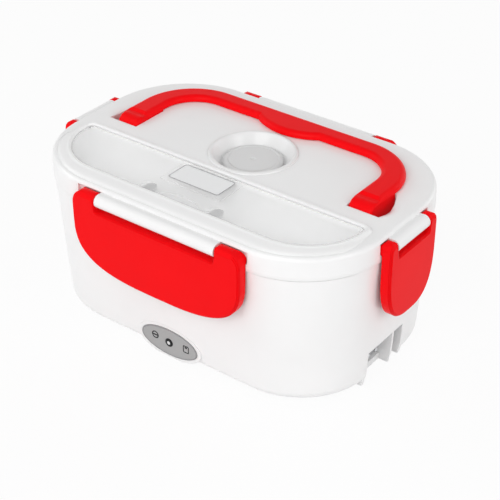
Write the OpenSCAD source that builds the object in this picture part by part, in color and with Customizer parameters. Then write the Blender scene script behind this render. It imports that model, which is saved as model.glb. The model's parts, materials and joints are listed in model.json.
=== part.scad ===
// Electric lunch box: a heated base with a lift-out food container under a lid with four side
// latches, a fold-down carrying handle, a spoon compartment and a steam vent.
// Millimetres. Origin at the middle of the underside of the feet, +X along the long side,
// +Y to the back and +Z up.

/* [Overall] */
// Length of the lid over its widest rim
lid_l = 238; // [236:1:242]
// Width of the lid over its widest rim
lid_w = 156; // [154:1:160]
// Corner radius of the lid's rim in plan
corner_r = 58; // [56:1:60]
// Height of the lid's flat top
deck_z = 107.2; // [107:0.1:107.6]
// Height of the joint line between base and lid
joint_z = 92; // [91.8:0.1:92.2]

/* [Base] */
// Wall of the outer shell
shell_wall = 2.4; // [2.2:0.1:2.6]
// How far the base is drawn in at its foot
foot_inset = 6; // [5.5:0.5:7]
// Radius of the rounded bottom edge
bottom_r = 8; // [7:0.5:8]
// Height of the rubber feet below the base
foot_h = 1.2; // [1:0.1:1.4]

/* [Latches] */
// Half the width of the front and back latches
long_latch = 63.5; // [62:0.5:64]
// Half the width of the side latches
short_latch = 25; // [24:0.5:26]
// Height of the front and back latches' lower edge
latch_low = 50.8; // [50:0.1:54]
// Height of the side latches' lower edge
side_low = 48.8; // [48:0.1:52]
// How far the latches stand proud of the lid's rim
latch_out = 7; // [7:0.1:7.4]

/* [Handle] */
// Half the width over the handle's legs
grip_half = 97.8; // [97:0.2:98]
// Width of each leg
leg_w = 16.2; // [15.6:0.2:16.4]
// Height of the handle's top when folded down
grip_top = 112; // [111.6:0.1:112.4]

/* [Spoon compartment] */
// Half the length of the compartment's bead
spoon_half = 107.3; // [106:0.1:107.4]
// Distance of the bead's front from the middle
spoon_front = 64; // [63:0.5:65]
// Distance of the bead's straight back edge from the middle
spoon_back = 18.5; // [18.4:0.1:19]

/* [Steam well] */
// Radius of the well's mouth
well_r = 25.5; // [24:0.5:25.5]
// Distance of the well's centre behind the middle
well_y = 13; // [12.4:0.2:13]
// Height of the well's floor
well_floor = 100.6; // [100.4:0.1:101.4]

/* [Hidden] */
$fn = 96;
hl = lid_l / 2;
hw = lid_w / 2;

WHITE = [0.93, 0.93, 0.92];
RED = [0.9, 0.07, 0.09];
GREY = [0.62, 0.62, 0.62];
STEEL = [0.72, 0.73, 0.75];
CLEAR = [0.9, 0.92, 0.93, 0.55];
DARK = [0.16, 0.16, 0.17];
SILICONE = [0.86, 0.87, 0.88];

// Base heights
floor_z = foot_h;
cover_t = 2.2;
tub_floor = 28;
tub_floor_t = 2;
plate_t = 0.8;
tub_flange_z = joint_z - 0.2;
tub_flange_t = 1.4;
pan_flange_z = tub_flange_z + tub_flange_t;
pan_flange_t = 1.4;
gasket_z = pan_flange_z + pan_flange_t;
gasket_t = 2.4;
liner_rim_z = gasket_z + gasket_t;
liner_t = 1.6;
liner_low = 90.6;

// Lid heights
lid_t = 2.2;
deck_under = deck_z - lid_t;
skirt_low = joint_z + 0.4;
skirt_t = 2.6;
rim_r = 3;

// Latch pivot: its distance out from the rim and its height
pivot_out = latch_out - 4.5;
pivot_z = 101;
lug_r = 4.4;
lug_room = 5;
bar_r = 4.3;
ear_low = 94.2;
side_z = 86;
catch_z = 80.5;
latch_gap = 0.5;
pin_r = 1.8;
run = 0.05;

// Handle pivot
hinge_y = 2.5;
hinge_z = 103.8;
foot_r = 6.9;
stub_r = 2;
heel = 20.6;
grip_low = 107.5;
grip_edge = 3.4;

// Spoon cover
lidlet_low = 105.6;
lidlet_t = 1.6;
lidlet_pivot_y = -spoon_back - 2.9;
lidlet_pivot_z = lidlet_low + lidlet_t / 2;
lidlet_pin_r = 0.8;
spoon_low = liner_low + liner_t;
ledge_low = lidlet_low - 1.8;

// Screw places at the bottom corners
screw_reach = 37;
screw_x = hl - corner_r + screw_reach * cos(45);
screw_y = hw - corner_r + screw_reach * sin(45);

// Power inlet on the right-hand side
bay_near = -23.5;
bay_rib = 3;
bay_far = 14.5;
rib_t = 1.8;
bay_top = 25;
bay_back = 99.5;
bay_low = 5.6;
pin_ys = [for (s = [-1, 1]) (bay_near + bay_rib) / 2 + s * 4.2];
mains_pin_r = 1.3;
socket_mid = (bay_rib + rib_t + bay_far) / 2;
socket_ys = [socket_mid, socket_mid + 3.6];
socket_pin_r = 0.9;

// ---------- helpers ----------

function arc(cx, cy, r, a0, a1, n) =
  [for (i = [0:n]) [cx + r * cos(a0 + (a1 - a0) * i / n), cy + r * sin(a0 + (a1 - a0) * i / n)]];

function mirrored(pts) = [for (i = [len(pts) - 1:-1:0]) [-pts[i][0], pts[i][1]]];

// Wall whose section is a profile of [distance out from the lid's rim, height], carried round
// the rounded rectangle of the rim.
module swept(profile) {
  moved = [for (p = profile) [p[0] + corner_r, p[1]]];
  for (sx = [0, 1]) {
    for (sy = [0, 1]) {
      mirror([sx, 0, 0]) mirror([0, sy, 0]) translate([hl - corner_r, hw - corner_r, 0])
        rotate_extrude(angle = 90) polygon(moved);
    }
    mirror([0, sx, 0]) translate([0, hw - corner_r, 0]) rotate([90, 0, 90])
      linear_extrude(height = 2 * (hl - corner_r), center = true) polygon(moved);
    mirror([sx, 0, 0]) translate([hl - corner_r, 0, 0]) rotate([90, 0, 0])
      linear_extrude(height = 2 * (hw - corner_r), center = true) polygon(moved);
  }
}

module outline(out) {
  r = corner_r + out;
  for (sx = [-1, 1]) {
    for (sy = [-1, 1]) {
      translate([sx * (hl - corner_r), sy * (hw - corner_r)]) circle(r = r);
    }
  }
  square([2 * (hl + out), 2 * (hw - corner_r)], center = true);
  square([2 * (hl - corner_r), 2 * (hw + out)], center = true);
}

module slab(out, z0, z1) {
  translate([0, 0, z0]) linear_extrude(height = z1 - z0) outline(out);
}

module block(x0, x1, y0, y1, z0, z1) {
  translate([x0, y0, z0]) cube([x1 - x0, y1 - y0, z1 - z0]);
}

// Profile in X and Z, extruded along Y
module along_y(y0, y1) {
  translate([0, y1, 0]) rotate([90, 0, 0]) linear_extrude(height = y1 - y0) children();
}

// Profile in Y and Z, extruded along X
module along_x(x0, x1) {
  translate([x0, 0, 0]) rotate([90, 0, 90]) linear_extrude(height = x1 - x0) children();
}

module rod_x(x0, x1, y, z, r) {
  translate([x0, y, z]) rotate([0, 90, 0]) cylinder(h = x1 - x0, r = r);
}

// ---------- base ----------

module indicator_place() {
  translate([0, -hw + foot_inset - 1, 11.4]) rotate([90, 0, 0]) children();
}

module oval(a, b) {
  polygon([for (i = [0:47]) [a * cos(i * 7.5), b * sin(i * 7.5)]]);
}

module inlet_block() {
  inner_x = hl - 16;
  difference() {
    along_y(bay_near - 3, bay_far + 3)
      polygon([
        [inner_x, floor_z], [hl - 7.6, floor_z], [hl - 6.8, 7.5], [hl - 6.4, 9.2],
        [hl - 5.4, bay_top + 2.6], [bay_back - 2, bay_top + 2.6],
        [bay_back - 2, floor_z + cover_t + 0.2], [inner_x, floor_z + cover_t + 0.2]
      ]);
    inlet_bays();
  }
}

module inlet_bays() {
  for (bay = [[bay_near, bay_rib], [bay_rib + rib_t, bay_far]]) {
    block(bay_back, hl + 2, bay[0], bay[1], bay_low, bay_top);
    block(hl - 14, hl + 2, bay[0], bay[1], floor_z - 1, bay_top);
  }
  for (y = pin_ys) {
    rod_x(bay_back - 3, bay_back + 1, y, 15, mains_pin_r);
  }
  for (y = socket_ys) {
    rod_x(bay_back - 3, bay_back + 1, y, 15, socket_pin_r);
  }
}

module base_shell() {
  out_foot = -foot_inset;
  arc_x = out_foot - bottom_r;
  arc_z = floor_z + bottom_r;
  ledge_z = floor_z + cover_t + 0.1;
  profile = concat(
    [[-1 - shell_wall, joint_z - 0.2], [-1, joint_z - 0.2]],
    arc(arc_x, arc_z, bottom_r, 0, -90, 8),
    [[-16, floor_z], [-16, ledge_z], [-22, ledge_z], [-22, ledge_z + 2.2],
     [out_foot - shell_wall - 1.2, ledge_z + 2.2], [out_foot - shell_wall, arc_z]]
  );
  color(WHITE) {
    difference() {
      union() {
        swept(profile);
        inlet_block();
        // screw pillars
        for (sx = [-1, 1]) {
          for (sy = [-1, 1]) {
            translate([sx * screw_x, sy * screw_y, ledge_z]) cylinder(h = 12, r = 4.2, $fn = 48);
          }
        }
        // oval boss that carries the indicator
        intersection() {
          indicator_place() translate([0, 0, -11]) linear_extrude(height = 11) oval(25, 11.8);
          block(-30, 30, -hw, -hw + foot_inset + 14, floor_z - 0.7, 40);
        }
        // ribs that the latches close under
        for (s = [-1, 1]) {
          block(-38, 38, s * (hw - 1.2) - 1.4, s * (hw - 1.2) + 1.4, 84, 87);
          block(s * (hl - 1.2) - 1.4, s * (hl - 1.2) + 1.4, -14, 14, 84, 87);
        }
      }
      inlet_bays();
      for (sx = [-1, 1]) {
        for (sy = [-1, 1]) {
          translate([sx * screw_x, sy * screw_y, 0]) cylinder(h = 14, r = 1.4, $fn = 32);
        }
      }
      // seats of the indicator's bezel and board, and the way through for its wire
      indicator_place() translate([0, 0, -1.4]) linear_extrude(height = 3) oval(22.2, 9.8);
      indicator_place() translate([0, 0, -6.6]) linear_extrude(height = 7) oval(17, 6.4);
      indicator_place() translate([0, 0, -14]) linear_extrude(height = 14) oval(10, 3.5);
    }
  }
}

module bottom_cover() {
  color(WHITE) {
    difference() {
      slab(-16.3, floor_z, floor_z + cover_t);
      for (sx = [-1, 1]) {
        for (sy = [-1, 1]) {
          translate([sx * screw_x, sy * screw_y, floor_z - 1]) cylinder(h = 5, r = 1.7, $fn = 32);
          translate([sx * screw_x, sy * screw_y, floor_z - 1]) cylinder(h = 2.3, r = 3.2, $fn = 32);
          translate([sx * 74, sy * 34, floor_z - 1]) cylinder(h = 1.8, r = 7.2, $fn = 48);
        }
      }
      // cooling slots
      for (i = [-3:3]) {
        for (s = [-1, 1]) {
          block(i * 12 - 1.2, i * 12 + 1.2, s * 16 - 9, s * 16 + 9, floor_z - 1, floor_z + 4);
        }
      }
    }
  }
}

module cover_screws() {
  color(STEEL) {
    for (sx = [-1, 1]) {
      for (sy = [-1, 1]) {
        translate([sx * screw_x, sy * screw_y, 0]) {
          difference() {
            union() {
              translate([0, 0, floor_z + 0.1]) cylinder(h = 1.2, r = 2.9, $fn = 32);
              translate([0, 0, floor_z + 1.2]) cylinder(h = 10, r = 1.4, $fn = 32);
            }
            translate([0, 0, floor_z - 0.4]) {
              block(-2, 2, -0.35, 0.35, 0, 1.1);
              block(-0.35, 0.35, -2, 2, 0, 1.1);
            }
          }
        }
      }
    }
  }
}

module rubber_feet() {
  color(DARK) {
    for (sx = [-1, 1]) {
      for (sy = [-1, 1]) {
        translate([sx * 74, sy * 34, 0]) {
          cylinder(h = 0.5, r1 = 6.2, r2 = 6.8, $fn = 48);
          translate([0, 0, 0.5]) cylinder(h = floor_z + 0.3, r = 6.8, $fn = 48);
        }
      }
    }
  }
}

module heating_tub() {
  top_in = -7.2;
  low_in = -11.2;
  t = 1.6;
  fz = tub_floor + tub_floor_t;
  profile = [
    [-3, tub_flange_z], [-3, pan_flange_z], [top_in, pan_flange_z], [low_in, fz + 3],
    [low_in - 3, fz], [low_in - 5, fz], [low_in - 5, tub_floor], [low_in - 2.4, tub_floor],
    [low_in + t, fz + 2], [top_in + t, tub_flange_z]
  ];
  color(WHITE) {
    difference() {
      union() {
        swept(profile);
        slab(low_in - 5, tub_floor, fz);
        // posts that the heater's bracket is screwed to
        for (s = [-1, 1]) {
          translate([s * 42, 0, tub_floor - 5]) cylinder(h = 5, r = 4, $fn = 32);
        }
      }
      block(-32, 32, -14, 14, tub_floor - 1, fz + 1);
      for (s = [-1, 1]) {
        translate([s * 42, 0, tub_floor - 6]) cylinder(h = 5.5, r = 1.2, $fn = 32);
      }
    }
  }
}

module rounded_plate(half_x, half_y, r, z0, z1) {
  translate([0, 0, z0]) linear_extrude(height = z1 - z0) {
    for (sx = [-1, 1]) {
      for (sy = [-1, 1]) {
        translate([sx * (half_x - r), sy * (half_y - r)]) circle(r = r, $fn = 48);
      }
    }
    square([2 * half_x, 2 * (half_y - r)], center = true);
    square([2 * (half_x - r), 2 * half_y], center = true);
  }
}

module heater_plate() {
  z0 = tub_floor + tub_floor_t;
  color(STEEL) {
    rounded_plate(84, 46, 14, z0, z0 + plate_t);
  }
}

module ptc_heater() {
  top = tub_floor + tub_floor_t;
  color([0.55, 0.5, 0.42]) {
    block(-30, 30, -12, 12, top - 7.5, top);
    for (s = [-1, 1]) {
      block(s * 30 - 2.5, s * 30 + 2.5, -12, -6, top - 5, top - 4.2);
    }
  }
}

module heater_bracket() {
  top = tub_floor + tub_floor_t - 7.5;
  color(STEEL) {
    difference() {
      union() {
        block(-48, 48, -7, 7, top - 1.2, top);
        block(-48, -36.6, -7, 7, top, tub_floor - 5);
        block(36.6, 48, -7, 7, top, tub_floor - 5);
      }
      for (s = [-1, 1]) {
        translate([s * 42, 0, top - 3]) cylinder(h = 8, r = 1.5, $fn = 32);
      }
    }
  }
}

module bracket_screws() {
  top = tub_floor + tub_floor_t - 8.7;
  color(STEEL) {
    for (s = [-1, 1]) {
      translate([s * 42, 0, top - 1.6]) cylinder(h = 1.6, r = 2.8, $fn = 32);
      translate([s * 42, 0, top]) cylinder(h = 6, r = 1.2, $fn = 32);
    }
  }
}

module thermostat() {
  color([0.75, 0.72, 0.66]) {
    translate([62, 18, tub_floor - 1.2]) cylinder(h = 1.2, r = 8, $fn = 48);
    translate([62, 18, tub_floor - 7]) cylinder(h = 5.8, r = 6.6, $fn = 48);
    for (s = [-1, 1]) {
      block(62 + s * 3.6 - 0.4, 62 + s * 3.6 + 0.4, 15, 21, tub_floor - 13, tub_floor - 7);
    }
  }
}

module thermal_fuse() {
  color([0.85, 0.85, 0.82]) {
    rod_x(-72, -58, 16, tub_floor - 2.6, 2);
    block(-68, -62, 13.4, 18.6, tub_floor - 2.6, tub_floor);
    rod_x(-78, -52, 16, tub_floor - 2.6, 0.5);
  }
}

module insulation_pad() {
  color([0.8, 0.78, 0.7]) {
    difference() {
      rounded_plate(66, 30, 8, floor_z + cover_t, floor_z + cover_t + 2);
      for (i = [-3:3]) {
        for (s = [-1, 1]) {
          block(i * 12 - 1.6, i * 12 + 1.6, s * 16 - 9.4, s * 16 + 9.4, 0, 12);
        }
      }
    }
  }
}

module mains_inlet() {
  color(DARK) {
    difference() {
      union() {
        block(bay_back, bay_back + 3, bay_near + 0.2, bay_rib - 0.2, bay_low + 0.2, bay_top - 0.2);
        for (y = pin_ys) {
          rod_x(bay_back + 3, bay_back + 4.2, y, 15, 4.6);
        }
      }
      for (y = pin_ys) {
        rod_x(bay_back - 1, bay_back + 6, y, 15, mains_pin_r);
      }
    }
  }
}

module mains_pins() {
  color(STEEL) {
    for (y = pin_ys) {
      rod_x(bay_back - 5, bay_back + 9, y, 15, mains_pin_r);
    }
  }
}

module car_socket() {
  color(DARK) {
    difference() {
      block(bay_back, bay_back + 4, bay_rib + rib_t + 0.2, bay_far - 0.2, bay_low + 0.2, bay_top - 0.2);
      rod_x(bay_back + 1, bay_back + 5, socket_ys[0], 15, 3);
    }
    rod_x(bay_back - 4, bay_back + 3.6, socket_ys[0], 15, socket_pin_r);
    rod_x(bay_back - 4, bay_back + 0.5, socket_ys[1], 15, socket_pin_r);
  }
}

// Tube of n sides along a route, as one closed polyhedron
module tube(route, r, n) {
  last = len(route) - 1;
  function way(i) = route[min(i + 1, last)] - route[max(i - 1, 0)];
  function side(i) = let (w = way(i)) [-w[1], w[0], 0] / norm([w[0], w[1]]);
  function up(i) = let (c = cross(way(i), side(i))) c / norm(c);
  points = [for (i = [0:last]) for (k = [0:n - 1])
    route[i] + r * (cos(360 * k / n) * side(i) + sin(360 * k / n) * up(i))];
  walls = [for (i = [0:last - 1]) for (k = [0:n - 1])
    [i * n + k, (i + 1) * n + k, (i + 1) * n + (k + 1) % n, i * n + (k + 1) % n]];
  polyhedron(concat(points), concat(
    walls, [[for (k = [0:n - 1]) k]], [[for (k = [n - 1:-1:0]) last * n + k]]), convexity = 6);
}

module wiring() {
  pin_end = bay_back - 5.1;
  live = [
    [pin_end, pin_ys[0], 15], [89, pin_ys[0], 15], [76, -4, 12], [65.6, 8, 13],
    [65.6, 12, 14], [65.6, 14.9, 14]
  ];
  back = [
    [pin_end, pin_ys[1], 15], [90, pin_ys[1], 15], [80, -8, 17], [60, -14, 17],
    [44, -9, 25.4], [38, -7.6, 25.4], [32.6, -7.6, 25.4]
  ];
  link = [
    [58.4, 21.1, 14], [58.4, 24, 14], [40, 32, 12], [-20, 34, 13], [-44, 22, 22],
    [-49, 16, 25.4], [-51.9, 16, 25.4]
  ];
  fuse = [
    [-78.1, 16, 25.4], [-80.5, 16, 25.4], [-82, 6, 22], [-60, -10, 18], [-44, -9.5, 24],
    [-37, -9, 25.4], [-32.6, -9, 25.4]
  ];
  plus = [
    [pin_end + 0.9, socket_ys[0], 15], [91, socket_ys[0], 15], [84, 10, 17], [62, 4, 16],
    [46, 10, 22], [34, 9.5, 26], [30.1, 9.5, 26]
  ];
  lamp = [
    [32.6, -10.4, 25.4], [37, -10.4, 25.4], [36, -22, 14], [20, -40, 9], [4, -54, 12],
    [4, -66.3, 12]
  ];
  color([0.75, 0.2, 0.16]) {
    for (route = [live, back, link, fuse, plus, lamp]) {
      tube(route, 1, 8);
    }
  }
}

module indicator_bezel() {
  color(GREY) {
    indicator_place() {
      difference() {
        translate([0, 0, -1.4]) linear_extrude(height = 1.7) oval(22, 9.6);
        translate([0, 0, -3]) cylinder(h = 6, r = 2.6, $fn = 48);
      }
    }
  }
}

module indicator_lens() {
  color([0.5, 0.52, 0.54]) {
    indicator_place() {
      translate([0, 0, -5]) cylinder(h = 5.3, r = 2.6, $fn = 48);
      translate([0, 0, 0.3]) cylinder(h = 0.5, r1 = 2.2, r2 = 1.5, $fn = 48);
      translate([0, 0, -2.4]) cylinder(h = 1, r = 4.4, $fn = 48);
    }
  }
}

module indicator_board() {
  color([0.2, 0.42, 0.26]) {
    indicator_place() {
      translate([-11, -4, -6.6]) cube([22, 8, 1.6]);
    }
  }
}

// ---------- food container and side dish ----------

module food_container() {
  top_in = -9.2;
  low_in = -13.2;
  t = 1.4;
  fz = tub_floor + tub_floor_t + plate_t;
  profile = [
    [-4.4, pan_flange_z], [-4.4, gasket_z], [top_in, gasket_z], [low_in, fz + t + 4],
    [low_in - 4, fz + t], [low_in - 6, fz + t], [low_in - 6, fz], [low_in - 3.4, fz],
    [low_in + t, fz + 4.6], [top_in + t, pan_flange_z]
  ];
  color([0.95, 0.95, 0.93]) {
    swept(profile);
    slab(low_in - 6, fz, fz + t);
    // wall between the main food and the side dish
    intersection() {
      union() {
        slab(low_in - 0.1, fz + t, 79);
      }
      block(27, 28.6, -80, 80, fz + t, 78);
    }
  }
}

module dish_outline(out) {
  intersection() {
    outline(-15 + out);
    translate([29.2 - out, -80]) square([100, 160]);
  }
}

module side_dish() {
  z0 = tub_floor + tub_floor_t + plate_t + 1.4;
  color([0.95, 0.8, 0.78]) {
    difference() {
      union() {
        translate([0, 0, z0]) linear_extrude(height = 40) dish_outline(-3);
        translate([0, 0, z0 + 38.6]) linear_extrude(height = 1.4) dish_outline(-1);
      }
      translate([0, 0, z0 + 1.4]) linear_extrude(height = 50) dish_outline(-4.4);
    }
  }
}

// ---------- lid ----------

// Outline of the spoon compartment, drawn in or out from the middle of its bead
function spoon_pts(out) =
  let (
    big = 40, small = 5,
    right = concat(
      arc(spoon_half - big, -spoon_front + big, big + out, -90, 0, 18),
      arc(spoon_half - small, -spoon_back - small, small + out, 0, 90, 6)
    )
  )
  concat(right, mirrored(right));

module spoon_area(out, z0, z1) {
  translate([0, 0, z0]) linear_extrude(height = z1 - z0) polygon(spoon_pts(out));
}

// One handle socket, on the right: solid below the deck, then the hollow
module socket_block() {
  along_y(-6.6, hinge_y + heel + 2.6) polygon([
    [74.4, 94.8], [103.4, 94.8], [105.9, 97.4], [105.9, 99.4], [108.8, 102.6],
    [108.8, deck_under + 0.2], [74.4, deck_under + 0.2]
  ]);
}

module socket_hollow() {
  inner = grip_half - leg_w - 0.4;
  outer = grip_half + 1.2;
  low = hinge_z - foot_r - 0.4;
  front = hinge_y - foot_r - 0.4;
  back = hinge_y + heel + 0.4;
  block(inner, outer, front, back, low, 120);
  // open well beside the leg
  translate([0, 0, low]) linear_extrude(height = 30) polygon([
    [outer - 1, front], [103.6, front], [104.4, 2], [104.2, 8], [102.8, 14], [100.8, 19],
    [outer - 1, back]
  ]);
  // dish where the deck rolls down into the well
  intersection() {
    translate([96, 5.5, 0]) rotate_extrude() polygon(concat(
      [for (t = [0:10:90]) [7.5 * (2 - cos(t)), deck_z - 3.4 + 3.45 * sin(t)]],
      [[15, 120], [7.5, 120]]
    ));
    block(outer - 0.5, 112, front, 30, 90, 130);
  }
  rod_x(inner - 5.4, inner + 1, hinge_y, hinge_z, stub_r + run);
}

// A latch hinge on the lid, drawn at the front: reach is the rim's distance from the middle
module hinge_bar(reach, half, ear) {
  end = half - ear - 0.4;
  pivot_y = -reach - pivot_out;
  difference() {
    union() {
      rod_x(-end, end, pivot_y, pivot_z, bar_r);
      block(-end, end, pivot_y, -reach + 1, pivot_z - bar_r, pivot_z + bar_r - 0.2);
      // wall behind the ears
      block(-half - 3, -end + 3, -reach + 2.4, -reach + 4.4, liner_rim_z + liner_t, deck_under + 0.2);
      block(end - 3, half + 3, -reach + 2.4, -reach + 4.4, liner_rim_z + liner_t, deck_under + 0.2);
    }
    rod_x(end - 6, end + 1, pivot_y, pivot_z, pin_r + run);
    rod_x(-end - 1, -end + 6, pivot_y, pivot_z, pin_r + run);
  }
}

module ear_pockets(reach, half, ear) {
  for (s = [0, 1]) {
    mirror([s, 0, 0])
      rod_x(half - ear - 0.4, half + 0.6, -reach - pivot_out, pivot_z, lug_room);
  }
}

module lid_shell() {
  skirt = concat(
    [[-skirt_t, skirt_low], [-0.3, skirt_low], [0, skirt_low + 2.2]],
    arc(-0.3 - rim_r, deck_z - rim_r, rim_r, 0, 90, 6),
    [[-16, deck_z], [-16, deck_under], [-skirt_t, deck_under]]
  );
  color(WHITE) {
    difference() {
      union() {
        swept(skirt);
        slab(-16, deck_under, deck_z);
        spoon_area(1.5, ledge_low, deck_z + 1);
        spoon_area(0.9, deck_z + 1, deck_z + 1.5);
        for (s = [0, 1]) {
          mirror([s, 0, 0]) socket_block();
        }
      }
      spoon_area(-1.5, lidlet_low - 0.2, deck_z + 5);
      spoon_area(-0.9, deck_z + 1, deck_z + 5);
      spoon_area(-4.2, ledge_low - 1, deck_z);
      // room for the cover's back edge as it turns
      block(-spoon_half + 3, spoon_half - 3, lidlet_pivot_y - 1.6, -spoon_back - 1.5,
            lidlet_low - 0.7, lidlet_low);
      rod_x(-spoon_half - 0.4, spoon_half + 0.4, lidlet_pivot_y, lidlet_pivot_z, lidlet_pin_r + run);
      translate([0, well_y, deck_under - 10]) cylinder(h = 20, r = well_r + 3);
      for (s = [0, 1]) {
        mirror([s, 0, 0]) socket_hollow();
        rotate([0, 0, 180 * s]) ear_pockets(hw, long_latch, 18);
        rotate([0, 0, 90 + 180 * s]) ear_pockets(hl, short_latch, 7.6);
      }
    }
    for (s = [0, 1]) {
      rotate([0, 0, 180 * s]) hinge_bar(hw, long_latch, 18);
      rotate([0, 0, 90 + 180 * s]) hinge_bar(hl, short_latch, 7.6);
    }
  }
}

// Tray of the spoon compartment, hung below the lid's deck
module spoon_tray() {
  color(WHITE) {
    difference() {
      spoon_area(-2.6, spoon_low, ledge_low);
      spoon_area(-4.2, spoon_low + 1.6, deck_z);
    }
  }
}

// Cup with a beaded mouth, set in the lid's deck
module steam_well() {
  color(WHITE) {
    difference() {
      translate([0, well_y, 0]) rotate_extrude() polygon([
        [0, well_floor - 1.6], [well_r - 3.5, well_floor - 1.6], [well_r + 1.5, deck_under],
        [well_r + 3, deck_under], [well_r + 3, deck_z], [well_r + 2.6, deck_z + 0.8],
        [well_r + 1.6, deck_z + 1.3], [well_r + 0.6, deck_z + 1.2], [well_r, deck_z + 0.7],
        [well_r - 1, deck_z - 0.6], [well_r - 4.5, well_floor + 0.6], [well_r - 5.5, well_floor],
        [0, well_floor]
      ]);
      translate([0, well_y, 90]) cylinder(h = 20, r = 3 + run, $fn = 48);
    }
  }
}

module lid_liner() {
  rim = liner_rim_z;
  profile = [
    [-4.2, rim - 1.8], [-3, rim - 1.8], [-3, rim], [-skirt_t, rim], [-skirt_t, rim + liner_t],
    [-11.6, rim + liner_t], [-11.6, liner_low + liner_t], [-14, liner_low + liner_t],
    [-14, liner_low], [-10.8, liner_low], [-10.2, liner_low + 0.6], [-10.2, rim], [-4.2, rim]
  ];
  color([0.96, 0.96, 0.95]) {
    difference() {
      union() {
        swept(profile);
        slab(-14, liner_low, liner_low + liner_t);
        translate([0, well_y, liner_low]) cylinder(h = well_floor - 1.6 - liner_low, r = 7);
      }
      translate([0, well_y, 80]) cylinder(h = 30, r = 4.6, $fn = 48);
    }
  }
}

module lid_gasket() {
  profile = [
    [-4.6, gasket_z + 0.9], [-6, gasket_z + 0.9], [-6.3, gasket_z], [-7.1, gasket_z],
    [-7.4, gasket_z + 0.9], [-8.8, gasket_z + 0.9], [-8.8, liner_rim_z], [-4.6, liner_rim_z]
  ];
  color(SILICONE) {
    swept(profile);
  }
}

module spoon_cover() {
  top = lidlet_low + lidlet_t;
  stub_end = spoon_half - 0.4;
  color(CLEAR) {
    difference() {
      union() {
        spoon_area(-1.9, lidlet_low, top);
        // raised pad
        block(-26, 20, -46, -23.5, top, top + 0.4);
      }
      // back edge drawn in so that it can turn
      block(-spoon_half, spoon_half, -spoon_back - 2.1, -spoon_back, lidlet_low - 1, top + 1);
      for (s = [-1, 1]) {
        translate([s * spoon_half, -spoon_back - 3.2, lidlet_low]) cube([7, 6.2, 6], center = true);
      }
      // finger hollow and thumb dimples at the front edge
      for (s = [-1, 1]) {
        translate([s * 25.5, -spoon_front + 6.6, top - 0.8]) cylinder(h = 3, r = 5, $fn = 48);
      }
      translate([0, -spoon_front - 14, top - 1]) cylinder(h = 3, r = 24, $fn = 96);
    }
    for (s = [-1, 1]) {
      rod_x(s > 0 ? spoon_half - 6 : -stub_end, s > 0 ? stub_end : -spoon_half + 6,
            lidlet_pivot_y, lidlet_pivot_z, lidlet_pin_r);
    }
  }
}

module vent_plug() {
  f = well_floor;
  color(SILICONE) {
    translate([0, well_y, 0]) rotate_extrude() polygon([
      [0, 96], [2.4, 96], [3, 97.4], [3, f], [19.6, f], [19.6, f + 0.4], [19.2, f + 0.7],
      [16.4, f + 0.8], [16, f + 1.2], [16, f + 2.1], [15.5, f + 2.6], [2, f + 2.6], [1.2, f + 2.2],
      [0, f + 2.1]
    ]);
  }
}

// ---------- handle ----------

// Section of the handle from a out to b, with its upper edge rounded
function outer_edge(a, b) = concat(
  [[a, grip_low], [b - 0.5, grip_low], [b, grip_low + 0.5]],
  arc(b - grip_edge, grip_top - grip_edge, grip_edge, 0, 90, 8),
  [[a, grip_top]]
);

// Section that is cut away inside the loop, from a out to b
function inner_edge(a, b) = concat(
  [[a, grip_low - 1], [b + 0.5, grip_low - 1], [b + 0.5, grip_low], [b, grip_low + 0.5]],
  arc(b + grip_edge, grip_top - grip_edge, grip_edge, 180, 90, 8),
  [[b + grip_edge, grip_top + 1], [a, grip_top + 1]]
);

// The loop: legs, rounded corners and the bar with a swelling in its middle
module grip_loop() {
  outer_r = 40;
  cx = grip_half - outer_r;
  cy = 23.5;
  x_in = grip_half - leg_w;
  inner_r = 24;
  back_in = 49.8;
  swell_r = 41.3;
  difference() {
    union() {
      along_x(-cx, cx) polygon(outer_edge(cy, cy + outer_r));
      for (s = [0, 1]) {
        mirror([s, 0, 0]) {
          translate([cx, cy, 0]) rotate_extrude(angle = 90) polygon(outer_edge(0, outer_r));
          along_y(hinge_y, cy) polygon(outer_edge(cx, grip_half));
        }
      }
    }
    along_x(inner_r - x_in, x_in - inner_r) polygon(inner_edge(0, back_in));
    for (s = [0, 1]) {
      mirror([s, 0, 0]) {
        translate([x_in - inner_r, back_in - inner_r, 0]) rotate_extrude(angle = 90)
          polygon(inner_edge(0, inner_r));
        along_y(-10, back_in - inner_r) polygon(inner_edge(x_in - inner_r, x_in));
        // the legs step down to the round of the feet
        along_x(x_in - 4, grip_half + 1) polygon([
          [hinge_y - 2, hinge_z + foot_r - 0.2], [hinge_y + 3.8, hinge_z + foot_r - 0.2],
          [hinge_y + 6, grip_top + 0.01], [hinge_y + 6, grip_top + 2], [hinge_y - 2, grip_top + 2]
        ]);
      }
    }
  }
  intersection() {
    translate([0, back_in - 7.5 + swell_r, 0]) rotate_extrude() polygon(outer_edge(0, swell_r));
    block(-40, 40, 30, 57, grip_low - 1, grip_top + 1);
  }
}

module handle() {
  x_in = grip_half - leg_w;
  nose = 1.8;
  color(RED) {
    grip_loop();
    for (s = [0, 1]) {
      mirror([s, 0, 0]) {
        // round foot, heel down in the socket, and the pivot's stub
        translate([x_in, hinge_y, hinge_z]) rotate([0, 90, 0]) rotate_extrude() polygon(concat(
          [[0, 0]],
          arc(foot_r - nose, nose, nose, -90, 0, 5),
          arc(foot_r - nose, leg_w - nose, nose, 0, 90, 5),
          [[0, leg_w]]
        ));
        intersection() {
          block(x_in, grip_half, hinge_y, hinge_y + heel, hinge_z - 5.9, grip_low + 1);
          rod_x(x_in - 1, grip_half + 1, hinge_y, hinge_z, heel);
        }
        rod_x(x_in - 5, x_in + 1, hinge_y, hinge_z, stub_r);
      }
    }
  }
}

// ---------- latches ----------

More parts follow.
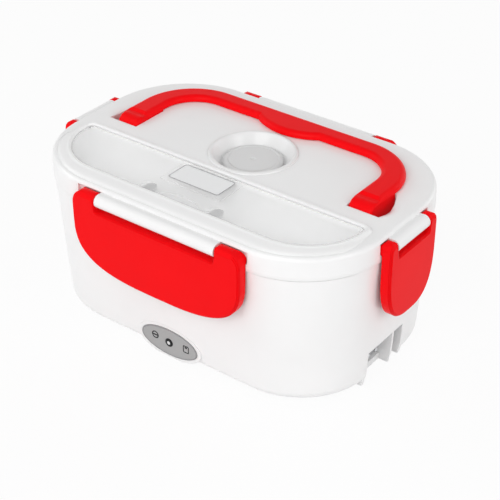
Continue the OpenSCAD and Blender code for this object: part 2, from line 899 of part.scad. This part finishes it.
// Front view of a latch: a rounded lower edge and two ears, drawn in by a distance
function latch_pts(half, ear, n, low, inn) =
  let (
    a = half - inn,
    b = side_z - low - inn,
    ear_in = half - ear,
    round_r = min(9.5, ear - 2.6),
    top = pivot_z + lug_r - inn * 0.4,
    right = concat(
      [for (i = [0:16]) let (t = 90 - 90 * i / 16)
        [a * pow(cos(t), 2 / n), side_z - b * pow(sin(t), 2 / n)]],
      arc(half - round_r, top - round_r, round_r - inn, 0, 90, 7),
      arc(ear_in + 2.5, top - 2.5, 2.5 - min(inn, 2), 90, 180, 4),
      arc(ear_in - 1.5, ear_low + 1.5 - inn * 0.6, 1.5, 0, -90, 3)
    )
  )
  concat([for (i = [1:len(right) - 1]) right[i]], [for (i = [len(right) - 1:-1:1])
    [-right[i][0], right[i][1]]], [right[0]]);

module latch(reach, half, ear, n, low, catch_half) {
  front = reach + latch_out;
  back = reach + latch_gap;
  wall = 2.2;
  pivot_y = -reach - pivot_out;
  module face(inn, y0, y1) {
    along_y(y0, y1) polygon(latch_pts(half, ear, n, low, inn));
  }
  color(RED) {
    difference() {
      intersection() {
        union() {
          face(0, -front + 1.3, -reach + 5);
          face(0.4, -front + 0.6, -front + 1.3);
          face(1.2, -front, -front + 0.6);
        }
        // side view: cap below, rounded and faceted ears above
        along_x(-half - 1, half + 1) polygon(concat(
          [[-back, 40], [-front, 40], [-front, pivot_z + 1], [-front + 1.5, pivot_z + 3.5],
           [-front + 3.6, pivot_z + lug_r]],
          arc(pivot_y, pivot_z, lug_r, 90, -60, 10),
          [[-back, ear_low + 1]]
        ));
      }
      // the hollow behind the front plate
      intersection() {
        along_y(-front + wall, -reach + 1) polygon([for (p = latch_pts(half, ear, n, low, 0))
          [p[0] * (half - wall) / half, raised(p[1], low, wall)]]);
        block(-half, half, -front, -reach + 1, 40, ear_low - wall - 1.5);
      }
    }
    // rib that closes under the base's rib, and stiffeners
    block(-catch_half, catch_half, -front + wall - 0.2, -back, catch_z, catch_z + 2.6);
    for (s = [-1, 0, 1]) {
      block(s * catch_half * 0.6 - 0.8, s * catch_half * 0.6 + 0.8, -front + wall - 0.2, -back,
            low + 1.5, catch_z + 0.1);
    }
    for (s = [-1, 1]) {
      inner = half - ear;
      rod_x(s > 0 ? inner - 5 : -inner - 1, s > 0 ? inner + 1 : -inner + 5, pivot_y, pivot_z, pin_r);
    }
  }
}

// Height drawn up towards the latch's widest level, to leave a wall below
function raised(z, low, wall) =
  z < side_z ? side_z - (side_z - z) * (side_z - low - wall) / (side_z - low) : z;

module latch_front() {
  latch(hw, long_latch, 18, 3, latch_low, 36);
}

module latch_back() {
  rotate([0, 0, 180]) latch(hw, long_latch, 18, 3, latch_low, 36);
}

module latch_right() {
  rotate([0, 0, 90]) latch(hl, short_latch, 7.6, 2.8, side_low, 13);
}

module latch_left() {
  rotate([0, 0, -90]) latch(hl, short_latch, 7.6, 2.8, side_low, 13);
}

base_shell();
bottom_cover();
cover_screws();
rubber_feet();
heating_tub();
heater_plate();
ptc_heater();
heater_bracket();
bracket_screws();
thermostat();
thermal_fuse();
insulation_pad();
mains_inlet();
mains_pins();
car_socket();
wiring();
indicator_bezel();
indicator_lens();
indicator_board();
food_container();
side_dish();
lid_shell();
spoon_tray();
steam_well();
lid_liner();
lid_gasket();
spoon_cover();
vent_plug();
handle();
latch_front();
latch_back();
latch_left();
latch_right();
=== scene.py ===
"""Looks of the electric lunch box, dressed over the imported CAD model.

The frame is the model's: +X along the long side towards the power inlet, +Y from the spoon
compartment to the handle's bar, +Z up. Blender's values are in metres; the sizes of the added
pieces are in millimetres and are multiplied by MM where their points are placed.
"""
import json
import math

import bmesh
import bpy
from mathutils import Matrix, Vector


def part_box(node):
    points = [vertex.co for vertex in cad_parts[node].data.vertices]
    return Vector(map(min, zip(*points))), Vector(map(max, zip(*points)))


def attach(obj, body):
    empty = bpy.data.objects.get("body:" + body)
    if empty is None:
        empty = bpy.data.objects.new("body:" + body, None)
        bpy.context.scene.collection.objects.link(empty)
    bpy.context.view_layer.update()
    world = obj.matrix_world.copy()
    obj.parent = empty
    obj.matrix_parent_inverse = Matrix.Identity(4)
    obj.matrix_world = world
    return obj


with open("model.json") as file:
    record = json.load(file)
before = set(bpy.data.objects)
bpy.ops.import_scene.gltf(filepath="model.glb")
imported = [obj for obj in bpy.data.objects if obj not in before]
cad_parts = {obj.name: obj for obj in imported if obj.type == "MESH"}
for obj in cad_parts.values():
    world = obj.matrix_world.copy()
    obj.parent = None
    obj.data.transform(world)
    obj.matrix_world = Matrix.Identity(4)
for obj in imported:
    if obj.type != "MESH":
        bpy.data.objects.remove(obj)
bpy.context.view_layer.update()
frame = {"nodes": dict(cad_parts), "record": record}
nodes = frame["nodes"]
MM = 0.001


# ---------- materials ----------

PLASTIC_IOR = 1.46
COAT_ROUGHNESS = 0.06
LEAST_ROUGHNESS = 0.02
# Scale and detail of the noises behind the drift of the colour and the patches of gloss
COLOR_NOISE = (22, 3)
GLOSS_NOISE = (70, 4)
GRAIN_DETAIL = 2
GRAIN_STRENGTH = 0.35
# Values of the colour noise at which the colour is at its darkest and its lightest
DARKEST_AT = 0.3
LIGHTEST_AT = 0.7
EDGE_SAMPLES = 6


def material(name, color, rough, coat=0.0, metal=0.0, alpha=1.0, shine=0.5, sheen=0.0,
             grain=0.0, grain_scale=900.0, vary=0.03, mottle=0.015, edge=0.0):
    """Moulded surface: its colour drifts slightly, its gloss varies and its skin has a fine grain.

    grain is the height of the skin's bumps and edge the radius of its softened edges, in metres.
    vary is how far the roughness moves either way, and mottle the share by which the colour does.
    """
    mat = bpy.data.materials.new(name)
    mat.use_nodes = True
    tree = mat.node_tree
    shader = tree.nodes["Principled BSDF"]
    shader.inputs["Metallic"].default_value = metal
    shader.inputs["Coat Weight"].default_value = coat
    shader.inputs["Coat Roughness"].default_value = COAT_ROUGHNESS
    shader.inputs["Alpha"].default_value = alpha
    shader.inputs["IOR"].default_value = PLASTIC_IOR
    shader.inputs["Specular IOR Level"].default_value = shine
    shader.inputs["Sheen Weight"].default_value = sheen
    place = tree.nodes.new("ShaderNodeTexCoord")

    def noise(scale, detail):
        node = tree.nodes.new("ShaderNodeTexNoise")
        node.inputs["Scale"].default_value = scale
        node.inputs["Detail"].default_value = detail
        tree.links.new(place.outputs["Object"], node.inputs["Vector"])
        return node.outputs["Fac"]

    drift = tree.nodes.new("ShaderNodeValToRGB")
    low, high = drift.color_ramp.elements
    low.position, high.position = DARKEST_AT, LIGHTEST_AT
    low.color = [c * (1 - mottle) for c in color] + [1]
    high.color = [min(1, c * (1 + mottle)) for c in color] + [1]
    tree.links.new(noise(*COLOR_NOISE), drift.inputs["Fac"])
    tree.links.new(drift.outputs["Color"], shader.inputs["Base Color"])
    gloss = tree.nodes.new("ShaderNodeMapRange")
    gloss.inputs["To Min"].default_value = max(LEAST_ROUGHNESS, rough - vary)
    gloss.inputs["To Max"].default_value = rough + vary
    tree.links.new(noise(*GLOSS_NOISE), gloss.inputs["Value"])
    tree.links.new(gloss.outputs["Result"], shader.inputs["Roughness"])
    normal = None
    if edge:
        soft = tree.nodes.new("ShaderNodeBevel")
        soft.samples = EDGE_SAMPLES
        soft.inputs["Radius"].default_value = edge
        normal = soft.outputs["Normal"]
    if grain:
        bump = tree.nodes.new("ShaderNodeBump")
        bump.inputs["Strength"].default_value = GRAIN_STRENGTH
        bump.inputs["Distance"].default_value = grain
        tree.links.new(noise(grain_scale, GRAIN_DETAIL), bump.inputs["Height"])
        if normal:
            tree.links.new(normal, bump.inputs["Normal"])
        normal = bump.outputs["Normal"]
    if normal:
        tree.links.new(normal, shader.inputs["Normal"])
    return mat


# One look for each material slot of the record
looks = {
    "white_plastic": material("white_moulding", (0.88, 0.88, 0.88), 0.3, coat=0.1,
                              grain=0.00002, edge=0.0005),
    "liner_plastic": material("satin_liner", (0.84, 0.84, 0.83), 0.42, grain=0.00003, edge=0.0005),
    "red_plastic": material("red_moulding", (0.9, 0.003, 0.006), 0.32, shine=0.06,
                            grain=0.000015, edge=0.0006),
    "clear_plastic": material("frosted_clear", (0.955, 0.955, 0.955), 0.2, coat=0.1, alpha=0.3,
                              grain=0.00002, edge=0.0004),
    "grey_plastic": material("satin_panel", (0.38, 0.38, 0.38), 0.38, grain=0.00002, edge=0.0004),
    "lens_plastic": material("lamp_lens", (0.7, 0.71, 0.72), 0.12, coat=0.6, edge=0.0003),
    "dark_plastic": material("socket_moulding", (0.42, 0.42, 0.43), 0.4, grain=0.00004, edge=0.0003),
    "silicone": material("grey_silicone", (0.72, 0.72, 0.72), 0.5, sheen=0.1,
                         grain=0.00003, edge=0.0004),
    "foot_rubber": material("pale_rubber", (0.62, 0.62, 0.6), 0.7, grain=0.00006, edge=0.0004),
    "steel": material("plated_steel", (0.62, 0.63, 0.64), 0.26, metal=1.0, vary=0.08, edge=0.0002),
    "aluminium": material("rolled_aluminium", (0.78, 0.78, 0.79), 0.34, metal=1.0, vary=0.1,
                          grain=0.00003, edge=0.0002),
    "ceramic": material("heater_ceramic", (0.55, 0.48, 0.38), 0.6, mottle=0.08, grain=0.00005),
    "felt": material("felt_pad", (0.66, 0.64, 0.56), 0.95, sheen=0.4, mottle=0.12,
                     grain=0.0003, grain_scale=1500),
    "board_green": material("board_green", (0.03, 0.16, 0.07), 0.35, mottle=0.1),
    "wire_red": material("wire_red", (0.5, 0.02, 0.015), 0.45, grain=0.00002),
}

# Looks of the steam cup and of the small pieces that are added below; the cup's look is a darker copy of
# the white moulding, which paints shade into the well
detail_looks = {
    "cup": material("cup_painted_shade", (0.8, 0.8, 0.8), 0.34, coat=0.1, grain=0.00002, edge=0.0005),
    "plate": material("bare_plate", (0.86, 0.865, 0.87), 0.35, grain=0.00001),
    # Dark grey rim of the lamp panel, also used as the painted shadow line round the cover's plate
    "rim": material("grey_rim_and_painted_shadow", (0.3, 0.3, 0.31), 0.4, grain=0.00001),
    # Dark grey of the lugs under the clear cover: painted shade on real lug shapes
    "lug": material("lug_painted_shade", (0.24, 0.245, 0.25), 0.45, grain=0.00002),
    "ink": material("black_ink", (0.012, 0.012, 0.013), 0.45, shine=0.2, grain=0.00001),
}

slot_of = {row["node"]: row["material_slot"] for row in frame["record"]["subparts"]}
for name, obj in nodes.items():
    obj.data.materials.clear()
    obj.data.materials.append(looks[slot_of[name]])
# the steam cup gets the darker white: painted shade inside the well
nodes["steam_well"].data.materials[0] = detail_looks["cup"]
nodes["spoon_cover"].visible_shadow = False  # the clear plastic lets light through to the tray


# ---------- tools for the pieces that the solids leave to the scene ----------

BEVEL_SEGMENTS = 3
# How deep a thin piece is sunk into the face that carries it, mm
SUNK = 0.02


def finish_piece(name, shape, body, mat, bevel=0.0):
    """Turns a bmesh into a piece that rides on a body, with rounded edges where a bevel is given."""
    mesh = bpy.data.meshes.new(name)
    bmesh.ops.recalc_face_normals(shape, faces=shape.faces)
    shape.to_mesh(mesh)
    shape.free()
    mesh.materials.append(mat)
    piece = bpy.data.objects.new(name, mesh)
    bpy.context.scene.collection.objects.link(piece)
    mesh.shade_smooth()
    if bevel:
        soft = piece.modifiers.new("edges", "BEVEL")
        soft.width = bevel
        soft.segments = BEVEL_SEGMENTS
        soft.limit_method = "ANGLE"
        soft.harden_normals = True
    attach(piece, body)


def prism(shape, loops, place, low, high):
    """Closed solid between two heights, with an outer outline and any inner ones, set out by place."""
    for height in (low, high):
        edges = []
        for loop in loops:
            ring = [shape.verts.new(place(x, y, height)) for x, y in loop]
            edges += [shape.edges.new((ring[i - 1], ring[i])) for i in range(len(ring))]
        bmesh.ops.triangle_fill(shape, use_beauty=True, use_dissolve=False, edges=edges)
    shape.verts.index_update()
    total = sum(len(loop) for loop in loops)
    verts = list(shape.verts)[-2 * total:]
    lower, upper = verts[:total], verts[total:]
    start = 0
    for loop in loops:
        count = len(loop)
        for i in range(count):
            this, following = start + i, start + (i + 1) % count
            shape.faces.new((lower[this], lower[following], upper[following], upper[this]))
        start += count


def revolve(shape, profile, place, steps=48):
    """Closed ring turned from a profile of radius and height."""
    rings = []
    for k in range(steps):
        turn = 2 * math.pi * k / steps
        ring = [place(radius * math.cos(turn), radius * math.sin(turn), z) for radius, z in profile]
        rings.append([shape.verts.new(point) for point in ring])
    for k in range(steps):
        one, two = rings[k], rings[(k + 1) % steps]
        for i in range(len(profile)):
            j = (i + 1) % len(profile)
            shape.faces.new((one[i], two[i], two[j], one[j]))


def arc(x, y, radius, start, end, steps):
    """Points of a round stretch about (x, y), with its angles in degrees."""
    turns = [math.radians(start + (end - start) * k / steps) for k in range(steps + 1)]
    return [(x + radius * math.cos(turn), y + radius * math.sin(turn)) for turn in turns]


def oval(half_width, half_height, steps=64):
    """Closed outline of an ellipse about the origin."""
    turns = [2 * math.pi * k / steps for k in range(steps)]
    return [(half_width * math.cos(turn), half_height * math.sin(turn)) for turn in turns]


def rounded_box(width, height, radius, steps=8):
    """Closed outline of a rectangle about the origin, with rounded corners."""
    points = []
    for k, (right, up) in enumerate(((1, 1), (-1, 1), (-1, -1), (1, -1))):
        x = right * (width / 2 - radius)
        y = up * (height / 2 - radius)
        points += arc(x, y, radius, 90 * k, 90 * (k + 1), steps)
    return points


def shifted(loop, x, y):
    return [(loop_x + x, loop_y + y) for loop_x, loop_y in loop]


def flat(x, y, z):
    """Places a point that is given in the model's own axes."""
    return (x * MM, y * MM, z * MM)


def smooth(value):
    """Eases a value from 0 to 1."""
    value = min(1, max(0, value))
    return value * value * (3 - 2 * value)


cover_low, cover_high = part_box("spoon_cover")
cover_top = cover_high[2] / MM


# ---------- bare plate on the spoon cover's raised pad, with a dark frame as painted shadow ---

PLATE_LEFT = -23.4
PLATE_RIGHT = 15.2
PLATE_FRONT = -42.2
PLATE_BACK = -23.9
PLATE_R = 2.0
# Width and height of the plate's dark grey frame: a painted shadow line round the plate's edges
PLATE_SHADOW_RIM = 0.55
PLATE_INNER_R = 1.5
PLATE_PROUD = 0.14
PLATE_SHADOW_RIM_PROUD = 0.16
PLATE_BEVEL = 0.00005


def make_plate():
    x, y = (PLATE_LEFT + PLATE_RIGHT) / 2, (PLATE_FRONT + PLATE_BACK) / 2
    width, depth = PLATE_RIGHT - PLATE_LEFT, PLATE_BACK - PLATE_FRONT
    outer = shifted(rounded_box(width, depth, PLATE_R), x, y)
    inner = shifted(rounded_box(width - 2 * PLATE_SHADOW_RIM, depth - 2 * PLATE_SHADOW_RIM, PLATE_INNER_R), x, y)
    low = cover_top - SUNK
    for name, loops, proud, look in (("cover_plate", [inner], PLATE_PROUD, "plate"),
                                     ("cover_plate_painted_shadow_rim", [outer, inner], PLATE_SHADOW_RIM_PROUD, "rim")):
        shape = bmesh.new()
        prism(shape, loops, flat, low, cover_top + proud)
        finish_piece(name, shape, "spoon_cover", detail_looks[look], PLATE_BEVEL)


# ---------- rounded bead round the spoon compartment ----------

# Outline of the bead's middle, as the solid has it: its front and back corners and its back line
BEAD_BIG = 40.0
BEAD_SMALL = 5.0
BEAD_BACK = -18.5
BEAD_BIG_STEPS = 40
BEAD_SMALL_STEPS = 12
# How far the bead's middle lies outside the cover's front edge and the cover's stub pins
FRONT_GAP = 1.9
STUB_GAP = 0.4
# How far the cover's top stands over the deck
COVER_PROUD = 0.4
# Section of the bead: distance out from its middle, height over the deck
BEAD_INSIDE = ((-1.62, -0.2), (-1.62, 1.0), (-1.4, 1.35), (-1.05, 1.62), (-0.5, 1.8), (0.0, 1.86),
               (0.5, 1.82))
# Its outer side along the back, where it is narrow
BEAD_NARROW = ((1.1, 1.6), (1.6, 1.2), (1.9, 0.7), (2.2, 0.28), (2.7, 0.02), (2.7, -0.2))
# Its outer side at the front, a broad shoulder: share of the way to the lid's rim, height over the deck
BEAD_WIDE = ((0.1, 1.62), (0.17, 1.34), (0.26, 1.22), (0.62, 0.92), (1.0, 0.02), (1.0, -0.2))
# The shoulder narrows between these angles of the front corner, where 0 is straight out to the side
SHOULDER_FULL = -30
SHOULDER_GONE = -4
# Middle of the lid's own front corner, and the radius there at which the shoulder meets the rim
LID_CORNER = (61.0, -20.0)
SHOULDER_END = 54.6


def bead_middle():
    """Right half of the bead's middle: each point, its way out, the shoulder's end there and its share."""
    edge = -cover_low[0] / MM + STUB_GAP
    front = cover_low[1] / MM - FRONT_GAP
    middle = []
    for x, y in arc(0, 0, 1, -90, 0, BEAD_BIG_STEPS):
        out = Vector((x, y))
        point = Vector((edge - BEAD_BIG, front + BEAD_BIG)) + BEAD_BIG * out
        angle = math.degrees(math.atan2(y, x))
        share = smooth((SHOULDER_GONE - angle) / (SHOULDER_GONE - SHOULDER_FULL))
        middle.append((point, out, Vector(LID_CORNER) + SHOULDER_END * out, share))
    for x, y in arc(0, 0, 1, 0, 90, BEAD_SMALL_STEPS):
        out = Vector((x, y))
        point = Vector((edge - BEAD_SMALL, BEAD_BACK - BEAD_SMALL)) + BEAD_SMALL * out
        middle.append((point, out, point, 0))
    return middle


def make_bead():
    """Rounded bead with its shoulder, laid over the stepped bead of the solid."""
    deck = cover_top - COVER_PROUD
    middle = bead_middle()
    shape = bmesh.new()
    rings = []

    def add_ring(right):
        both = right + [(-x, y, z) for x, y, z in reversed(right)]
        rings.append([shape.verts.new(flat(x, y, deck + z)) for x, y, z in both])

    for reach, height in BEAD_INSIDE:
        add_ring([(*(point + reach * out), height) for point, out, end, share in middle])
    for (reach, low), (way, high) in zip(BEAD_NARROW, BEAD_WIDE):
        right = []
        for point, out, end, share in middle:
            narrow, wide = point + reach * out, point.lerp(end, way)
            right.append((*narrow.lerp(wide, share), low + (high - low) * share))
        add_ring(right)
    for one, two in zip(rings, rings[1:] + rings[:1]):
        for i in range(len(one)):
            shape.faces.new((one[i - 1], one[i], two[i], two[i - 1]))
    finish_piece("spoon_bead", shape, "lid", looks["white_plastic"])


# ---------- two rounded lugs under the front edge of the spoon cover, dark grey for painted shade ---

LUG_X = {"left": -26.0, "right": 24.6}
LUG_BACK = -50.6
LUG_FRONT = -59.3
LUG_R = 3.4
LUG_HEIGHT = 2.4
# How far the lugs' tops lie below the cover's top
LUG_DOWN = 2.05
LUG_BEVEL = 0.0008
LUG_STEPS = 20


def make_lugs():
    top = cover_top - LUG_DOWN
    for side, x in LUG_X.items():
        end = arc(x, LUG_BACK - LUG_R, LUG_R, 0, 180, LUG_STEPS)
        outline = [(x + LUG_R, LUG_FRONT)] + end + [(x - LUG_R, LUG_FRONT)]
        shape = bmesh.new()
        prism(shape, [outline], flat, top - LUG_HEIGHT, top)
        finish_piece("cover_lug_" + side, shape, "spoon_cover", detail_looks["lug"], LUG_BEVEL)


# ---------- sloping lip round the vent plug's cap ----------

LIP_INNER_R = 15.4
LIP_FOOT_R = 15.9
LIP_INNER_LOW = -0.9
LIP_LOW = -1.9
# Outer side of the lip: distance in from the plug's edge, height from its top
LIP_OUTSIDE = ((2.4, -0.02), (1.2, -0.3), (0.5, -0.95), (0.3, LIP_LOW))
LIP_STEPS = 96


def make_plug_lip():
    low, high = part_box("vent_plug")
    mid_x, mid_y = (low[0] + high[0]) / 2, (low[1] + high[1]) / 2
    top = high[2] / MM
    reach = (high[0] - low[0]) / 2 / MM

    def place(x, y, z):
        return (mid_x + x * MM, mid_y + y * MM, (top + z) * MM)

    outside = [(reach - inset, z) for inset, z in LIP_OUTSIDE]
    profile = [(LIP_INNER_R, LIP_INNER_LOW), (LIP_INNER_R, 0.0)] + outside + [(LIP_FOOT_R, LIP_LOW)]
    shape = bmesh.new()
    revolve(shape, profile, place, LIP_STEPS)
    finish_piece("vent_plug_lip", shape, "vent_plug", looks["silicone"])


# ---------- marks of the lamp panel: rim, ring round the lamp and two plain signs ----------

PRINT_PROUD = 0.06
# The rim's outer and inner outlines, in from the panel's edge, and its height
RIM_OUTER_IN = 0.1
RIM_INNER_IN = 0.75
RIM_PROUD = 0.14
RIM_STEPS = 96
# Section of the ring round the lamp: radius, height over the panel
LAMP_RING = ((1.25, 0.4), (1.3, 0.62), (1.7, 0.66), (2.5, 0.34), (2.95, 0.22), (3.0, -0.02), (2.4, 0.1))
# Signs, from the panel's middle: a ring with a bar, and an upright frame with a bar near its top
LEFT_SIGN = (-11.1, 1.4)
LEFT_RING_OUTER = 2.7
LEFT_RING_INNER = 1.9
RIGHT_SIGN = (13.4, 0.6)
RIGHT_BAR_UP = 1.2
# Width, height and corner radius
LEFT_BAR = (3.9, 1.0, 0.4)
RIGHT_FRAME_OUTER = (4.6, 5.4, 0.9)
RIGHT_FRAME_INNER = (3.3, 4.1, 0.45)
RIGHT_BAR = (1.9, 1.1, 0.35)


def make_panel():
    low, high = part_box("indicator_bezel")
    mid_x, mid_z = (low[0] + high[0]) / 2 / MM, (low[2] + high[2]) / 2 / MM
    half_x, half_z = (high[0] - low[0]) / 2 / MM, (high[2] - low[2]) / 2 / MM
    face = low[1] / MM

    def place(x, z, out):
        return ((mid_x + x) * MM, (face - out) * MM, (mid_z + z) * MM)

    def printed(name, loops, look, proud=PRINT_PROUD):
        shape = bmesh.new()
        prism(shape, loops, place, -SUNK, proud)
        finish_piece(name, shape, "base", detail_looks[look])

    rim = [oval(half_x - inset, half_z - inset, RIM_STEPS) for inset in (RIM_OUTER_IN, RIM_INNER_IN)]
    printed("panel_rim", rim, "rim", RIM_PROUD)
    shape = bmesh.new()
    revolve(shape, LAMP_RING, place)
    finish_piece("lamp_ring", shape, "base", detail_looks["ink"])
    ring = [shifted(oval(radius, radius), *LEFT_SIGN) for radius in (LEFT_RING_OUTER, LEFT_RING_INNER)]
    printed("sign_left_ring", ring, "ink")
    printed("sign_left_bar", [shifted(rounded_box(*LEFT_BAR), *LEFT_SIGN)], "ink")
    outline = [shifted(rounded_box(*size), *RIGHT_SIGN) for size in (RIGHT_FRAME_OUTER, RIGHT_FRAME_INNER)]
    printed("sign_right_frame", outline, "ink")
    right_x, right_z = RIGHT_SIGN
    printed("sign_right_bar", [shifted(rounded_box(*RIGHT_BAR), right_x, right_z + RIGHT_BAR_UP)], "ink")


make_plate()
make_bead()
make_lugs()
make_plug_lip()
make_panel()


# ---------- stage, light and camera ----------

FLOOR_HALF = 6
FLOOR_COLOR = (0.84, 0.84, 0.84, 1)
FLOOR_ROUGHNESS = 0.9
FLOOR_SHINE = 0.1
# Share of plain white that is mixed into the floor where it is seen
FLOOR_WHITE_SHARE = 0.93
# Strength of the world at the level of the box and overhead, and the heights between which it fades
WORLD_LEVEL = 0.85
WORLD_TOP = 0.33
FADE_START = 0.15
FADE_END = 0.7
# Softboxes: name, place, diameter in metres, power in watts
SOFTBOXES = (
    ("front_softbox", (0.2, -1.16, 0.97), 1.0, 8.9),
    ("right_softbox", (1.29, -0.11, 0.8), 0.8, 4.2),
    ("left_softbox", (-1.22, -0.44, 0.8), 0.8, 3.3),
    ("rear_softbox", (0.5, 1.3, 0.5), 0.8, 2),
)
SOFTBOX_TARGET = (0, 0, 0.05)
CAMERA_PLACE = (0.4433, -0.5763, 0.5141)
CAMERA_TARGET = (0, 0.00966, 0.03671)
CAMERA_LENS = 97.06
CAMERA_SENSOR = 36
CAMERA_NEAR = 0.05
CAMERA_FAR = 20


def aim(obj, target):
    """Turns a lamp or camera, which is already in its place, towards a point."""
    obj.rotation_euler = (Vector(target) - obj.location).to_track_quat("-Z", "Y").to_euler()


def make_softbox(name, location, size, power):
    data = bpy.data.lights.new(name, "AREA")
    data.shape = "DISK"
    data.size = size
    data.energy = power
    lamp = bpy.data.objects.new(name, data)
    lamp.location = location
    aim(lamp, SOFTBOX_TARGET)
    bpy.context.scene.collection.objects.link(lamp)


def seen_rays(tree):
    """Output that is 1 for the rays that show the background: camera, mirror and see-through rays."""
    path = tree.nodes.new("ShaderNodeLightPath")
    result = path.outputs["Is Camera Ray"]
    for ray in ("Is Glossy Ray", "Is Transmission Ray"):
        larger = tree.nodes.new("ShaderNodeMath")
        larger.operation = "MAXIMUM"
        tree.links.new(result, larger.inputs[0])
        tree.links.new(path.outputs[ray], larger.inputs[1])
        result = larger.outputs["Value"]
    return result


def make_floor():
    """Plain floor that takes the shadow, with a share of plain white where it is seen."""
    mesh = bpy.data.meshes.new("floor")
    shape = bmesh.new()
    bmesh.ops.create_grid(shape, x_segments=1, y_segments=1, size=FLOOR_HALF)
    shape.to_mesh(mesh)
    shape.free()
    floor = bpy.data.objects.new("floor", mesh)
    bpy.context.scene.collection.objects.link(floor)
    mat = bpy.data.materials.new("floor_white")
    mat.use_nodes = True
    tree = mat.node_tree
    lit = tree.nodes["Principled BSDF"]
    lit.inputs["Base Color"].default_value = FLOOR_COLOR
    lit.inputs["Roughness"].default_value = FLOOR_ROUGHNESS
    lit.inputs["Specular IOR Level"].default_value = FLOOR_SHINE
    white = tree.nodes.new("ShaderNodeEmission")
    share = tree.nodes.new("ShaderNodeMath")
    share.operation = "MULTIPLY"
    share.inputs[1].default_value = FLOOR_WHITE_SHARE
    tree.links.new(seen_rays(tree), share.inputs[0])
    mix = tree.nodes.new("ShaderNodeMixShader")
    tree.links.new(share.outputs["Value"], mix.inputs[0])
    tree.links.new(lit.outputs["BSDF"], mix.inputs[1])
    tree.links.new(white.outputs["Emission"], mix.inputs[2])
    tree.links.new(mix.outputs["Shader"], tree.nodes["Material Output"].inputs["Surface"])
    mesh.materials.append(mat)


def make_world():
    """White surroundings that light the box more from its own level than from overhead."""
    world = bpy.data.worlds.new("studio")
    world.use_nodes = True
    tree = world.node_tree
    background = tree.nodes["Background"]
    place = tree.nodes.new("ShaderNodeTexCoord")
    split = tree.nodes.new("ShaderNodeSeparateXYZ")
    tree.links.new(place.outputs["Generated"], split.inputs["Vector"])
    fade = tree.nodes.new("ShaderNodeMapRange")
    fade.interpolation_type = "SMOOTHSTEP"
    fade.inputs["From Min"].default_value = FADE_START
    fade.inputs["From Max"].default_value = FADE_END
    fade.inputs["To Min"].default_value = WORLD_LEVEL
    fade.inputs["To Max"].default_value = WORLD_TOP
    tree.links.new(split.outputs["Z"], fade.inputs["Value"])
    shown = tree.nodes.new("ShaderNodeMix")
    shown.data_type = "FLOAT"
    shown.inputs["B"].default_value = 1
    tree.links.new(seen_rays(tree), shown.inputs["Factor"])
    tree.links.new(fade.outputs["Result"], shown.inputs["A"])
    tree.links.new(shown.outputs["Result"], background.inputs["Strength"])
    background.inputs["Color"].default_value = (1, 1, 1, 1)
    bpy.context.scene.world = world


def make_camera():
    data = bpy.data.cameras.new("camera")
    data.sensor_width = CAMERA_SENSOR
    data.lens = CAMERA_LENS
    data.clip_start = CAMERA_NEAR
    data.clip_end = CAMERA_FAR
    camera = bpy.data.objects.new("camera", data)
    camera.location = CAMERA_PLACE
    aim(camera, CAMERA_TARGET)
    bpy.context.scene.collection.objects.link(camera)
    bpy.context.scene.camera = camera


make_floor()
make_world()
for softbox in SOFTBOXES:
    make_softbox(*softbox)
make_camera()
bpy.context.scene.view_settings.view_transform = "Standard"
